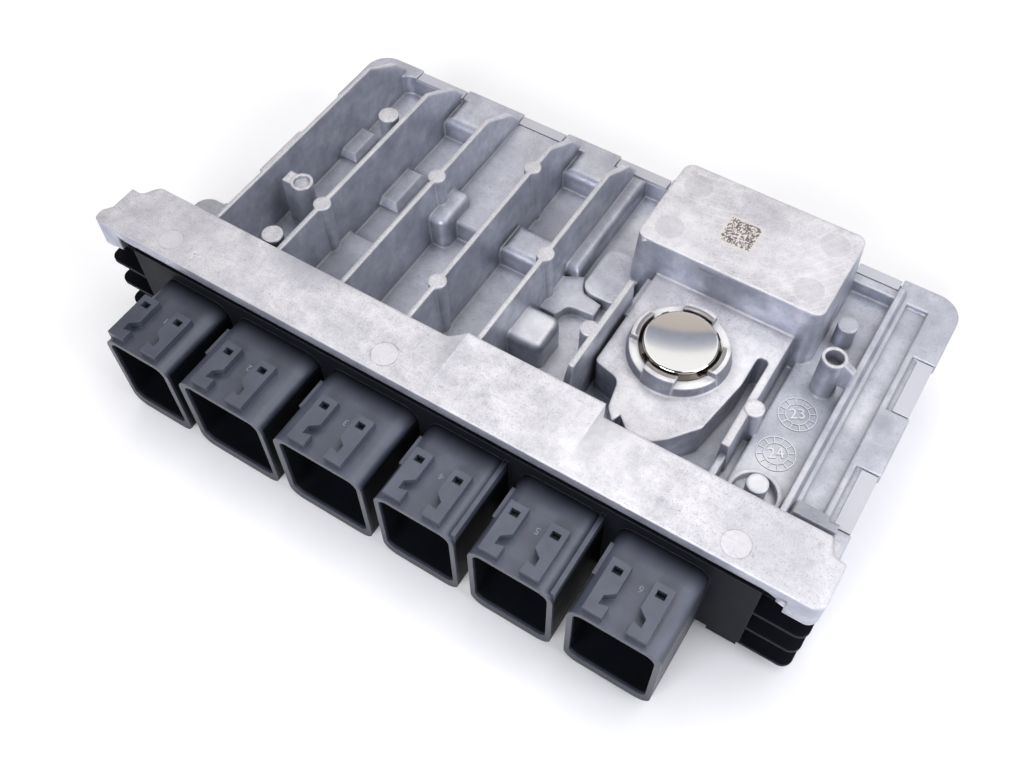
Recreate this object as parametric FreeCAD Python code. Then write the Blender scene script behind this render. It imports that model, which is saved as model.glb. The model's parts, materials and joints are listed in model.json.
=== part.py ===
import FreeCAD, Part
import math
import os

V = FreeCAD.Vector

# Engine control unit, in millimetres. While it is built, the front left top corner of the shelf is
# the zero point: X runs along the connectors, Y to the rear, Z up. place() moves it at the end.

# Levels
block_top = 2.5
fin_top = -0.6
hollow_boss_top = -4.0
low_post_top = -11.0
step_top = -11.0
hump_top = -12.0
ridge_top = -15.5
hump_pad_top = -17.5
cross_pad_top = -19.0
platform_top = -9.5
rib_top = -13.0
arc_wall_top = -16.5
ledge_top = -10.7
cross_rib_bottom = -13.0
flange_top = -15.0
pad_top = -19.7
floor_top = -22.7
board_top = -38.4
unit_bottom = -45.0

# Cover casting
wall = 2.5
flange_thickness = 3.6
shelf_length = 232.0
end_bay = 14.5
right_margin = 1.5
shelf_depth = 20.0
shelf_thickness = 3.2
shelf_wide_from = 116.4
shelf_wide_to = 160.0
shelf_wide_depth = 24.0
lip_bottom = -5.2
lip_ledge = -1.4
lip_step = 0.7
lip_bump_spots = [52.0, 84.0, 115.5, 146.0, 177.0]
lip_bump_width = 4.0
lip_bump_bottom = -3.5
skirt_bottom = -10.0
left_skirt = 6.6
shelf_ear = 1.9
shelf_round = 3.0
right_skirt = shelf_length - 8.5
flange_left = 16.0
flange_right = shelf_length - right_margin
flange_rear = 119.0
flange_corner = 8.0
field_left = 29.3
field_right = flange_right - 19.1
field_rear = 114.4
left_wall_top = 1.2
left_wall_pad = 0.9
fin_width = 1.4
fin_pitch = 23.2
first_fin = 52.9
last_fin = 120.3
fin_draft = 3.0
fin_slope_from = 97.0
fin_slope_to = 116.0
fin_knee_y = 110.5
fin_knee_z = -8.3
short_fin_left = 144.9
short_fin_right = 146.6
short_fin_front = 30.0
short_fin_rear = 64.5
rear_block_front = 102.8
block_left = 139.3
block_right = 197.6
block_front = 78.2
block_rear = 111.8
block_corner = 3.0
block_draft = 3.3
platform_left = 148.0
platform_right = 186.5
platform_front = 25.3
slot_rear = 64.5
thin_rib_left = 190.0
thin_rib_right = 192.3
right_rib_width = 1.6
arc_wall_radius = 7.5
strip_pocket_left = flange_right - 15.3
strip_pocket_right = flange_right - 8.7
strip_pocket_front = 33.5
strip_pocket_rear = 110.8
strip_pocket_depth = 1.6
bar_rise = 2.4

# Posts: x, y, top radius, top level
posts = [
    (47.0, 82.8, 3.2, fin_top),
    (47.0, 23.9, 3.2, fin_top),
    (52.2, 41.2, 2.7, fin_top),
    (75.3, 68.8, 2.7, fin_top),
    (98.3, 87.5, 2.7, fin_top),
    (98.5, 35.0, 2.7, fin_top),
    (119.5, 60.0, 2.7, fin_top),
    (143.8, 43.5, 2.7, fin_top),
    (193.0, 49.6, 2.8, platform_top + 0.3),
    (203.6, 91.1, 3.0, low_post_top),
    (203.4, 29.9, 3.0, low_post_top),
]
# Hollow bosses: x, y, top radius, bore radius, bore depth
left_boss = (38.9, 47.3, 3.5, 2.6, 1.5)
right_boss = (205.3, 72.9, 3.6, 2.7, 5.0)

# Vent
vent_x = 166.7
vent_y = 55.2
collar_radius = 15.3
collar_wall = 3.6
collar_top = -6.5
lug_top = -4.0
lug_length = 9.5
cap_radius = 10.1
cap_top = -3.5
cap_sheet = 0.8
cap_rise = 0.35
breather_radius = 4.5
clip_flats = 16
clip_bore = 9.0

# Header moulding
header_left = 12.0
header_right = shelf_length - end_bay
header_top = -6.0
header_bottom = -41.0
header_wall = 3.0
seat_gap = 0.4
tongue_top = -shelf_thickness - seat_gap
bay_wall_y = 6.0
plate_bottom = -44.0
bay_levels = [-19.0, -29.5, -40.5]
bay_plate = 1.0
bay_corner = 3.2
bay_reach = 3.0
seal_thickness = 1.4
shroud_front = -26.8
shroud_top = -10.0
shroud_bottom = -43.7
shroud_corner = 4.5
mouth_top = -11.5
mouth_bottom = -39.8
mouth_corner = 3.0
# Connectors: outer left, outer right, mouth left, mouth right
shrouds = [
    (23.5, 47.0, 25.2, 45.2),
    (51.0, 81.0, 53.2, 79.4),
    (85.0, 115.0, 87.2, 113.4),
    (119.0, 144.5, 120.6, 143.0),
    (148.7, 174.3, 150.3, 172.7),
    (178.5, 204.7, 180.1, 203.1),
]
rail_height = 2.8
rail_width = 5.6
left_rail_edge = -4.2
right_rail_edge = 8.0
rail_front = -25.7
rail_rear = -10.0
window_length = 2.0
window_width = 2.6
window_inset = 2.8
window_y = -12.9
notch_rear = -18.3
notch_front = -23.0
notch_depth = 2.6
# Ribs on the shrouds' upper right edges: left, right
edge_ribs = [(143.2, 144.5), (173.0, 174.3)]
edge_rib_rise = 0.6
lug_width = 2.0
lug_drop = 1.4

# Terminals
pin_width = 0.8
pin_height = 0.8
pin_pitch = 5.2
pin_front = -15.0
pin_rows = [-20.0, -31.0]
first_leg_y = 11.6
leg_pitch = 2.3

# Tray and board
tray_sheet = 1.5
tray_left = 19.0
tray_right = flange_right - 2.0
tray_rear = 117.2
tab_sheet = 1.0
tab_reach = 4.8
board_thickness = 1.6
board_left = 24.0
board_right = tray_right - 5.5
board_front = 10.0
board_rear = 112.0
bead = 0.6
pad_film = 0.8
screw_spots = [(36.0, 104.0), (board_right - 4.5, 104.0)]
screw_radius = 1.5
screw_boss = 3.6

front_y = shroud_front
housing_front = bay_wall_y + header_wall + seal_thickness
flange_bottom = flange_top - flange_thickness
deck_bottom = floor_top - wall
tray_floor = unit_bottom + tray_sheet
field_end = tray_rear - tray_sheet - 0.1
rear_y = flange_rear


def place(shape):
    shift = V(-(shelf_length - bay_reach) / 2, -(front_y + rear_y) / 2, -unit_bottom)
    moved = shape.copy()
    moved.translate(shift)
    return moved


def save(name, shape):
    Part.Compound(place(shape).Solids).exportStep("parts/" + name + ".step")


def box(x0, x1, y0, y1, z0, z1):
    return Part.makeBox(x1 - x0, y1 - y0, z1 - z0, V(x0, y0, z0))


def loop(points, at):
    """Closed wire; a third number on a point rounds that corner."""
    stops = []
    count = len(points)
    for i, point in enumerate(points):
        here = at(point[0], point[1])
        radius = point[2] if len(point) > 2 else 0
        if radius == 0:
            stops.append((here, None, here))
            continue
        back = (at(*points[i - 1][:2]) - here).normalize()
        ahead = (at(*points[(i + 1) % count][:2]) - here).normalize()
        half = back.getAngle(ahead) / 2
        reach = radius / math.tan(half)
        middle = here + (back + ahead).normalize() * (radius / math.sin(half) - radius)
        stops.append((here + back * reach, middle, here + ahead * reach))
    edges = []
    for i, (start, middle, end) in enumerate(stops):
        if middle:
            edges.append(Part.Arc(start, middle, end).toShape())
        following = stops[(i + 1) % count][0]
        if (following - end).Length > 1e-6:
            edges.append(Part.makeLine(end, following))
    return Part.Wire(edges)


def rectangle(u0, u1, w0, w1, radius=0):
    return [(u0, w0, radius), (u1, w0, radius), (u1, w1, radius), (u0, w1, radius)]


def upright(points, z0, z1):
    return Part.Face(loop(points, lambda x, y: V(x, y, z0))).extrude(V(0, 0, z1 - z0))


def along_y(points, y0, y1):
    return Part.Face(loop(points, lambda x, z: V(x, y0, z))).extrude(V(0, y1 - y0, 0))


def along_x(points, x0, x1):
    return Part.Face(loop(points, lambda y, z: V(x0, y, z))).extrude(V(x1 - x0, 0, 0))


def drafted(x0, x1, y0, y1, radius, top, bottom, spread):
    """Block with its size given at the top; its sides lean out by spread at the bottom."""
    radius = min(radius, 0.4 * (x1 - x0), 0.4 * (y1 - y0))
    high = loop(rectangle(x0, x1, y0, y1, radius), lambda x, y: V(x, y, top))
    low_radius = max(radius + spread, 0.2) if radius else 0
    low_points = rectangle(x0 - spread, x1 + spread, y0 - spread, y1 + spread, low_radius)
    low = loop(low_points, lambda x, y: V(x, y, bottom))
    return Part.makeLoft([low, high], True, True)


def lean(height, degrees):
    return height * math.tan(math.radians(degrees))


def cone(x, y, top_radius, top, bottom, degrees=0.0):
    low_radius = top_radius + lean(top - bottom, degrees)
    if degrees == 0.0:
        return Part.makeCylinder(top_radius, top - bottom, V(x, y, bottom))
    return Part.makeCone(low_radius, top_radius, top - bottom, V(x, y, bottom))


def joined(shapes):
    return shapes[0].multiFuse(shapes[1:]).removeSplitter()


def cut(shape, tools):
    return shape.cut(Part.Compound(tools))


# Where the tray is folded over the flange edge
right_tabs = [(30.8, 51.5), (72.5, 93.5)]
left_tabs = [(34.6, 51.5), (72.5, 93.5)]
rear_tabs = [(34.5, 54.0), (76.0, 93.5), (113.5, 133.0), (155.0, 175.0), (197.0, 211.5)]
tab_side_gap = 0.5


def tab_notches():
    """Steps in the flange edge and shallow pockets for the folded tabs."""
    tools = []
    depth = flange_top - tab_sheet - 0.1
    for y0, y1 in right_tabs:
        tools.append(box(flange_right - 1.5, flange_right + 5, y0, y1, flange_bottom - 1, flange_top + 1))
        pocket = rectangle(flange_right - tab_reach - 2.2, flange_right + 5, y0, y1)
        tools.append(upright(pocket, depth, flange_top + 1))
    for y0, y1 in left_tabs:
        tools.append(box(flange_left - 5, flange_left + 2.0, y0, y1, flange_bottom - 1, flange_top + 1))
        pocket = rectangle(flange_left - 5, flange_left + tab_reach + 2.2, y0, y1)
        tools.append(upright(pocket, depth, flange_top + 1))
    for x0, x1 in rear_tabs:
        tools.append(box(x0, x1, flange_rear - 1.8, flange_rear + 5, flange_bottom - 1, flange_top + 1))
        pocket = rectangle(x0, x1, flange_rear - tab_reach - 0.4, flange_rear + 5)
        tools.append(upright(pocket, depth, flange_top + 1))
    return tools


def flange():
    outline = [
        (flange_left, housing_front),
        (flange_right, housing_front),
        (flange_right, flange_rear, flange_corner),
        (flange_left, flange_rear, flange_corner),
    ]
    plate = upright(outline, flange_bottom, flange_top)
    left_tab = upright(
        [(8.0, 14.0), (20.0, 14.0), (20.0, 33.8), (8.0, 33.8, 5.0)], flange_bottom, flange_top
    )
    return plate, left_tab


def channel(left, right, front, rear, floor, corner=0.0):
    """Pocket down to a channel floor."""
    return upright(rectangle(left, right, front, rear, corner), floor, flange_top + 1)


def fin_edges():
    rights = []
    right = first_fin
    while right < last_fin - 5:
        rights.append(right)
        right += fin_pitch
    rights.append(last_fin)
    return rights


def fin(left, right, front, rear, spread_left, spread_right):
    section = [
        (left - spread_left, floor_top - 1),
        (right + spread_right, floor_top - 1),
        (right, fin_top),
        (left, fin_top),
    ]
    return along_y(section, front, rear)


def fin_slope():
    """The space above the sloping rear ends of the fins."""
    profile = [
        (fin_slope_from, fin_top + 5),
        (fin_slope_from, fin_top),
        (fin_knee_y, fin_knee_z),
        (fin_slope_to, flange_top),
        (flange_rear + 5, flange_top),
        (flange_rear + 5, fin_top + 5),
    ]
    return along_x(profile, flange_left, block_left - 2)


def fins():
    spread = lean(fin_top - floor_top, fin_draft)
    shapes = []
    for right in fin_edges():
        shapes.append(fin(right - fin_width, right, shelf_depth - 2, field_end, spread, spread))
    outer = field_left - left_wall_top
    shapes.append(fin(outer, field_left, shelf_depth - 2, field_end, spread, 0.7))
    shapes.append(box(outer - left_wall_pad, field_left - 0.4, 42.4, 61.8, flange_top - 0.5, fin_top))
    long_ones = cut(joined(shapes), [fin_slope()])
    short = fin(short_fin_left, short_fin_right, short_fin_front - 6, short_fin_rear, spread, 0.7)
    front_slope = along_x(
        [
            (short_fin_front - 10, fin_top + 2),
            (short_fin_front, fin_top + 2),
            (short_fin_front, fin_top),
            (short_fin_front - 6, floor_top),
            (short_fin_front - 10, floor_top),
        ],
        short_fin_left - 4,
        short_fin_right + 4,
    )
    return [long_ones, short.cut(front_slope)]


def channels():
    """One pocket per channel, left to right; its sides lie inside the fins that are put in later."""
    rights = fin_edges()
    middles = [right - fin_width / 2 for right in rights]
    front = shelf_depth
    tools = [channel(field_left - left_wall_top / 2, middles[0], front, field_rear, floor_top, 5.0)]
    for left, right in zip(middles, middles[1:]):
        tools.append(channel(left, right, front, field_rear, floor_top))
    tools.append(channel(middles[-1], block_left + 1, front, field_rear, floor_top))
    tools.append(channel(block_left - 2, thin_rib_right + 3, front, block_front + 2, floor_top))
    tools.append(channel(thin_rib_right + 1, field_right, front, strip_pocket_rear, pad_top))
    return tools


def hump(left, right, front, rear, top, edge, corner):
    """Pillow-shaped block against the wall on its left: round corners and a round top edge."""
    outline = [(left, front), (right, front, corner), (right, rear, corner), (left, rear)]
    body = upright(outline, deck_bottom + 0.5, top)
    rim = [line for line in body.Edges if line.BoundBox.ZMin > top - 0.01 and line.BoundBox.XMax > left + 0.01]
    return body.makeFillet(edge, rim)


def step(left, right, front, rear, top, edge, open_sides):
    """Raised part of a channel floor; the top edges of its open sides are rounded, or cut flat on low pads."""
    body = upright(rectangle(left, right, front, rear), deck_bottom + 0.5, top)
    middle_x = (left + right) / 2
    middle_y = (front + rear) / 2
    middles = {
        "left": V(left, middle_y, top),
        "right": V(right, middle_y, top),
        "front": V(middle_x, front, top),
        "rear": V(middle_x, rear, top),
    }
    wanted = [middles[name] for name in open_sides.split()]
    chosen = [
        line for line in body.Edges if any(line.CenterOfMass.distanceToPoint(point) < 0.01 for point in wanted)
    ]
    low = top < step_top - 5 and top < flange_top
    return body.makeChamfer(edge, chosen) if low else body.makeFillet(edge, chosen)


def cross_pad():
    """Low pad with four arms between the humps of the fifth channel."""
    outline = [
        (120.0, 54.6),
        (126.6, 54.6),
        (128.4, 59.6, 3.0),
        (136.8, 60.4),
        (136.6, 64.8),
        (129.6, 66.2, 3.0),
        (127.0, 71.6),
        (120.0, 68.0),
    ]
    return upright(outline, deck_bottom + 0.5, cross_pad_top)


def channel_steps():
    """Raised pads, humps and blocks on the channel floors, left to right."""
    rights = fin_edges()
    starts = [right - fin_width / 2 for right in rights]
    end = field_end - 0.5
    return [
        step(field_left - 1.0, 36.2, 75.5, 90.0, pad_top, 1.6, "right front rear"),
        step(starts[0], starts[1], shelf_depth - 1, 49.6, pad_top, 0.8, "rear"),
        step(starts[0], 61.0, 64.5, 83.0, pad_top, 1.8, "right front rear"),
        step(rights[0] + 0.6, starts[1], rear_block_front, end, flange_top, 3.5, "front left"),
        hump(starts[1], 83.0, 60.8, 76.5, step_top, 2.2, 2.6),
        step(rights[1] + 0.6, starts[2], 66.7, end, flange_top, 1.0, "front left"),
        step(rights[2] + 0.6, starts[3], 65.0, 77.3, flange_top, 2.8, "front left rear"),
        step(rights[2] + 0.6, starts[3], rear_block_front + 0.8, end, flange_top, 3.2, "front left"),
        step(starts[3], 125.6, 70.0, end, ridge_top, 2.0, "front right"),
        hump(starts[3], 132.2, 36.0, 50.0, hump_top, 2.6, 3.6),
        upright(rectangle(128.6, block_left + 3, 66.0, 85.5, 4.0), deck_bottom + 0.5, hump_pad_top),
        cross_pad(),
    ]


def platform_outline():
    left = platform_left
    right = platform_right
    return [
        (left, block_front + 3),
        (left, 40.5, 1.5),
        (left + 8.6, 38.5, 3.5),
        (left + 10.6, 29.0, 3.0),
        (left + 13.5, platform_front + 0.4),
        (left + 14.7, platform_front + 3.2),
        (left + 18.5, platform_front - 0.3),
        (right - 13.0, platform_front, 2.0),
        (right - 9.5, 28.2),
        (right - 3.0, 36.5, 3.0),
        (right, 55.0, 8.0),
        (right, block_front + 3),
    ]


def platform():
    slab = upright(platform_outline(), floor_top - 1, platform_top)
    bridge = box(platform_right - 2, thin_rib_right, slot_rear, block_front + 3, floor_top - 1, platform_top)
    slot_section = rectangle(thin_rib_left - 3.5, thin_rib_left, floor_top - 5, platform_top + 1)
    slot_end = along_y(slot_section, slot_rear - 1, slot_rear + 1.7)
    round_end = slot_end.makeFillet(1.7, vertical_edges(slot_end, slot_rear + 1.7))
    rib_spread = lean(platform_top - floor_top, fin_draft)
    rib = along_y(
        [
            (thin_rib_left - 0.3, floor_top - 1),
            (thin_rib_right + rib_spread, floor_top - 1),
            (thin_rib_right, platform_top),
            (thin_rib_left, platform_top),
        ],
        35.0,
        block_front + 3,
    )
    low_rib = box(thin_rib_left + 0.4, thin_rib_right, shelf_depth - 1, 36.0, floor_top - 1, platform_top - 5)
    ledge = box(platform_left - 1.7, platform_left + 1.0, 60.1, 75.2, floor_top - 1, ledge_top)
    return joined([slab, bridge.cut(round_end), rib, low_rib, ledge])


def vertical_edges(shape, y):
    found = []
    for edge in shape.Edges:
        ends = [vertex.Point for vertex in edge.Vertexes]
        upright_edge = len(ends) == 2 and abs(ends[0].z - ends[1].z) > 1
        if upright_edge and abs(ends[0].y - y) < 1e-6 and abs(ends[1].y - y) < 1e-6:
            found.append(edge)
    return found


def tall_block():
    spread = lean(block_top - floor_top, block_draft)
    return drafted(
        block_left, block_right, block_front, block_rear, block_corner, block_top, floor_top - 1, spread
    )


def vent_collar():
    """Round collar with four lugs that grip the vent."""
    inner = collar_radius - collar_wall
    ring = cone(vent_x, vent_y, collar_radius - 1.0, collar_top, platform_top - 0.5, 15.0)
    lugs = cone(vent_x, vent_y, inner + 2.4, lug_top, platform_top - 0.5, 12.0)
    reach = collar_radius + 1
    half = lug_length / 2
    across = box(vent_x - reach, vent_x + reach, vent_y - half, vent_y + half, platform_top - 1, lug_top + 1)
    deep = box(vent_x - half, vent_x + half, vent_y - reach, vent_y + reach, platform_top - 1, lug_top + 1)
    gripping = lugs.common(joined([across, deep]))
    hole = cone(vent_x, vent_y, inner, lug_top + 1, platform_top)
    return joined([ring, gripping]), hole


def shelf():
    plate_points = [
        (-shelf_ear, 0.0, 2.0),
        (shelf_length, 0.0, shelf_round),
        (shelf_length, 14.6),
        (shelf_length - 4.0, 15.4),
        (shelf_length - 6.0, shelf_depth),
        (shelf_wide_to + 1.5, shelf_depth),
        (shelf_wide_to, shelf_wide_depth),
        (shelf_wide_from, shelf_wide_depth),
        (shelf_wide_from - 4.0, shelf_depth, 3.0),
        (7.0, shelf_depth, 2.0),
        (3.8, 15.0, 2.0),
        (0.0, 15.0),
        (0.0, 6.6),
        (-shelf_ear, 4.0, 1.0),
    ]
    plate = upright(plate_points, -shelf_thickness, 0.0)
    lip = box(-shelf_ear, shelf_length, 0.0, wall, lip_bottom, 0.0)
    groove = box(left_skirt, right_skirt, -1.0, lip_step, lip_bottom - 1, lip_ledge)
    left_skirt_points = [
        (-shelf_ear, 0.0),
        (-shelf_ear, skirt_bottom),
        (left_skirt, skirt_bottom + 0.9),
        (left_skirt, 0.0),
    ]
    right_skirt_points = [
        (shelf_length, 0.0),
        (shelf_length, skirt_bottom),
        (right_skirt, skirt_bottom),
        (right_skirt, lip_bottom - 2),
        (right_skirt - 5, lip_bottom),
        (right_skirt - 5, 0.0),
    ]
    skirts = [along_y(left_skirt_points, 0.0, wall), along_y(right_skirt_points, 0.0, wall)]
    ends = [
        box(-shelf_ear, wall, 0.0, 14.0, skirt_bottom, 0.0),
        box(shelf_length - wall, shelf_length, 0.0, 14.0, skirt_bottom, 0.0),
    ]
    outline = upright(plate_points, skirt_bottom - 1, 1.0)
    half = lip_bump_width / 2
    bumps = [box(x - half, x + half, 0.0, wall, lip_bump_bottom, 0.0) for x in lip_bump_spots]
    front = joined([joined([lip] + skirts).cut(groove)] + bumps + ends)
    return [plate, front.common(outline)]


def header_chamber():
    """Walls behind the header, between shelf and deck."""
    rear_wall = box(8.5, shelf_length - 6.5, shelf_depth - wall, shelf_depth, flange_bottom, -1.0)
    deep_wall = box(field_left - 2, field_right + 2, shelf_depth - wall, shelf_depth, deck_bottom, -1.0)
    wide_wall = box(
        shelf_wide_from + 1, shelf_wide_to - 1, shelf_depth - 1, shelf_wide_depth, deck_bottom, -shelf_thickness
    )
    cheeks = [
        box(tray_left, tray_left + wall, housing_front, shelf_depth, flange_bottom, -1.0),
        box(tray_right - wall, tray_right, housing_front, shelf_depth, flange_bottom, -1.0),
    ]
    return [rear_wall, deep_wall, wide_wall] + cheeks


def underside_hollows():
    """Spaces under the raised parts, so that the casting keeps an even wall."""
    rights = fin_edges()
    low = deck_bottom - 1
    high = flange_top - wall
    under = [
        (rights[0] + 4.0, rights[1] - 4.0, rear_block_front + wall + 1, field_rear - 1, high),
        (rights[1] + 4.0, rights[2] - 4.0, 66.7 + wall, field_rear - 1, high),
        (rights[2] + 4.0, rights[3] - 4.0, rear_block_front + wall + 1, field_rear - 1, high),
        (platform_left + wall, platform_right - wall - 4, 42.0, block_front - wall, platform_top - wall),
        (block_left + wall, block_right - wall, block_front + wall, block_rear - wall, block_top - wall),
    ]
    return [box(left, right, front, rear, low, top) for left, right, front, rear, top in under]


def cover():
    """The whole casting: plates and pockets first, then what stands up, then what is hollow."""
    field = box(field_left - 3, field_right + 2, shelf_depth - wall, field_end, deck_bottom, flange_top)
    plate, left_tab = flange()
    body = joined([plate, left_tab, field] + shelf() + header_chamber())
    chamber_left = tray_left + wall
    chamber_right = tray_right - wall
    chamber_rear = shelf_depth - wall
    chamber_space = box(
        chamber_left, chamber_right, housing_front - 1, chamber_rear, flange_bottom - 1, -shelf_thickness
    )
    body = cut(body, channels() + [chamber_space])
    cross_rib = box(tray_left, tray_right, housing_front, housing_front + wall, cross_rib_bottom, -1.0)
    collar, collar_hole = vent_collar()
    added = [cross_rib, platform(), tall_block(), collar, right_rib(), boss_web(), corner_wall(), sloped_bar()]
    added += fins() + channel_steps()
    for x, y, radius, top in posts:
        added.append(cone(x, y, radius, top, deck_bottom + 0.5))
    for x, y, radius, bore, depth in [left_boss, right_boss]:
        added.append(cone(x, y, radius, hollow_boss_top, deck_bottom + 0.5))
    body = joined([body] + added)
    removed = underside_hollows() + tab_notches() + [collar_hole, strip_pocket()]
    removed.append(cone(vent_x, vent_y, breather_radius, platform_top + 1, deck_bottom - 1))
    for x, y, radius, bore, depth in [left_boss, right_boss]:
        removed.append(cone(x, y, bore, hollow_boss_top + 1, hollow_boss_top - depth))
    body = cut(body, removed)
    return joined([body] + screw_bosses() + heat_blocks()).cut(Part.Compound(screw_holes()))


def boss_web():
    """Small webs from the hollow bosses to the nearest wall."""
    left_x, left_y = left_boss[0], left_boss[1]
    right_x, right_y = right_boss[0], right_boss[1]
    left_web = box(left_x - 6.0, left_x - 2.0, left_y - 2.3, left_y + 2.1, deck_bottom + 0.5, hollow_boss_top - 0.3)
    slope = [
        (right_x + 3.0, rib_top - 1),
        (field_right + 0.5, rib_top - 1),
        (field_right + 0.5, hollow_boss_top - 2.5),
        (right_x + 3.0, hollow_boss_top - 0.2),
    ]
    right_web = along_y(slope, right_y - 1.1, right_y + 1.1)
    return joined([left_web, right_web])


def corner_wall():
    """Arc wall round the low post beside the shelf."""
    x, y, radius, top = posts[-1]
    ring = cone(x, y, arc_wall_radius, arc_wall_top, deck_bottom + 0.5)
    inside = cone(x, y, arc_wall_radius - 1.2, arc_wall_top + 1, pad_top)
    return ring.cut(inside)


def sloped_bar():
    """Bar behind the shelf's right end that slopes down to the rear."""
    section = [
        (28.2, flange_top - 0.5),
        (33.2, flange_top - 0.5),
        (33.2, flange_top + 0.4),
        (28.2, flange_top + bar_rise),
    ]
    return along_x(section, strip_pocket_left - 0.7, strip_pocket_right + 4.8)


def right_rib():
    left = field_right
    spread = 1.5
    return along_y(
        [
            (left - 0.4, pad_top - 1),
            (left + right_rib_width, pad_top - 1),
            (left + right_rib_width + spread, flange_top - 0.5),
            (left + right_rib_width, rib_top),
            (left, rib_top),
        ],
        shelf_depth - 1,
        flange_rear - tab_reach - 0.6,
    )


def strip_pocket():
    return upright(
        rectangle(strip_pocket_left, strip_pocket_right, strip_pocket_front, strip_pocket_rear),
        flange_top - strip_pocket_depth,
        flange_top + 1,
    )


def roof_over(x):
    return flange_bottom if x > field_right else deck_bottom


def screw_bosses():
    """Cast blocks that the board is screwed to."""
    half = screw_boss
    return [box(x - half, x + half, y - half, y + half, board_top, roof_over(x) + 1) for x, y in screw_spots]


def screw_holes():
    return [cone(x, y, screw_radius, board_top + 8, board_top - 1) for x, y in screw_spots]


# Parts on the board: left, right, front, rear, height
cpu = (84.0, 110.0, 27.0, 53.0, 2.2)
supply = (135.0, 147.0, 30.0, 42.0, 2.0)
drivers = [(x, x + 12.0, 56.0, 64.0, 2.0) for x in (58.0, 82.0, 104.0)]
transistors = [(x, x + 10.0, y, y + 10.0, 4.4) for x in (34.0, 58.0, 124.0) for y in (70.0, 86.0)]
memory = (118.0, 130.0, 30.0, 44.0, 1.4)
diodes = [(x, x + 7.0, 30.0, 36.0, 2.6) for x in (150.0, 162.0, 174.0)]
chokes = [(x, x + 13.0, 48.0, 61.0, 9.5) for x in (152.0, 169.0)]
shunts = [(x, x + 6.4, 102.0, 105.2, 0.9) for x in (52.0, 66.0, 80.0, 94.0)]
crystal = (112.0, 117.0, 40.0, 43.2, 1.2)
sensor = (138.0, 146.0, 60.0, 68.0, 2.4)
ceramics = [(x, x + 3.2, y, y + 1.6, 1.4) for x in (119.0, 125.0, 131.0) for y in (48.0, 52.0, 56.0, 60.0)]
capacitor_spots = [(157.0, 95.0), (179.0, 95.0)]
capacitor_radius = 7.5
capacitor_height = 36.0


def on_board(spots):
    return [box(x0, x1, y0, y1, board_top, board_top + height) for x0, x1, y0, y1, height in spots]


def cooled():
    return [cpu, supply] + drivers + transistors


def heat_blocks():
    """Cast blocks inside the cover that reach down to the hot parts."""
    return [
        box(x0 + 1, x1 - 1, y0 + 1, y1 - 1, board_top + height + pad_film, deck_bottom + 1)
        for x0, x1, y0, y1, height in cooled()
    ]


def thermal_pads():
    return [
        box(x0 + 1, x1 - 1, y0 + 1, y1 - 1, board_top + height, board_top + height + pad_film)
        for x0, x1, y0, y1, height in cooled()
    ]


def tray():
    outer = upright(
        [
            (tray_left, housing_front),
            (tray_right, housing_front),
            (tray_right, tray_rear, 6.0),
            (tray_left, tray_rear, 6.0),
        ],
        unit_bottom,
        flange_bottom - bead,
    )
    inner = upright(
        [
            (tray_left + tray_sheet, housing_front - 1),
            (tray_right - tray_sheet, housing_front - 1),
            (tray_right - tray_sheet, tray_rear - tray_sheet, 4.5),
            (tray_left + tray_sheet, tray_rear - tray_sheet, 4.5),
        ],
        tray_floor,
        flange_bottom,
    )
    rim_top = flange_bottom - bead
    rim = upright(
        [
            (flange_left + 2, housing_front),
            (flange_right - 1.5, housing_front),
            (flange_right - 1.5, flange_rear - 1.8, flange_corner - 2),
            (flange_left + 2, flange_rear - 1.8, flange_corner - 2),
        ],
        rim_top - tab_sheet,
        rim_top,
    )
    tabs = []
    low = rim_top - tab_sheet
    top = flange_top - 0.1
    gap = tab_side_gap
    fold = top - tab_sheet
    for y0, y1 in right_tabs:
        edge = flange_right - 1.5
        outer_edge = edge + tab_sheet
        tabs.append(box(edge, outer_edge, y0 + gap, y1 - gap, low, top))
        tabs.append(box(outer_edge - tab_reach, outer_edge, y0 + gap, y1 - gap, fold, top))
    for y0, y1 in left_tabs:
        edge = flange_left + 2
        outer_edge = edge - tab_sheet
        tabs.append(box(outer_edge, edge, y0 + gap, y1 - gap, low, top))
        tabs.append(box(outer_edge, outer_edge + tab_reach, y0 + gap, y1 - gap, fold, top))
    for x0, x1 in rear_tabs:
        edge = flange_rear - 1.8
        outer_edge = edge + tab_sheet
        tabs.append(box(x0 + gap, x1 - gap, edge, outer_edge, low, top))
        tabs.append(box(x0 + gap, x1 - gap, outer_edge - tab_reach + 1, outer_edge, fold, top))
    return joined([outer, rim] + tabs).cut(inner)


def ring_seal():
    outer = upright(
        [
            (tray_left, housing_front),
            (tray_right, housing_front),
            (tray_right, tray_rear, 6.0),
            (tray_left, tray_rear, 6.0),
        ],
        flange_bottom - bead,
        flange_bottom,
    )
    inner = upright(
        [
            (tray_left + tray_sheet, housing_front - 1),
            (tray_right - tray_sheet, housing_front - 1),
            (tray_right - tray_sheet, tray_rear - tray_sheet, 4.5),
            (tray_left + tray_sheet, tray_rear - tray_sheet, 4.5),
        ],
        flange_bottom - bead - 1,
        flange_bottom + 1,
    )
    return outer.cut(inner)


def header_seal():
    y0 = housing_front - seal_thickness
    outer = box(tray_left, tray_right, y0, housing_front, unit_bottom + 0.2, -10.6)
    inner = box(tray_left + 2, tray_right - 2, y0 - 1, housing_front + 1, tray_floor + 0.6, -12.6)
    return outer.cut(inner)


def pin_columns(shroud):
    left, right, mouth_left, mouth_right = shroud
    middle = (mouth_left + mouth_right) / 2
    count = int((mouth_right - mouth_left - 3.0) / pin_pitch)
    return [middle + (i - (count - 1) / 2) * pin_pitch for i in range(count)]


def leg_y(row):
    return first_leg_y + leg_pitch * (len(pin_rows) - 1 - row)


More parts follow.
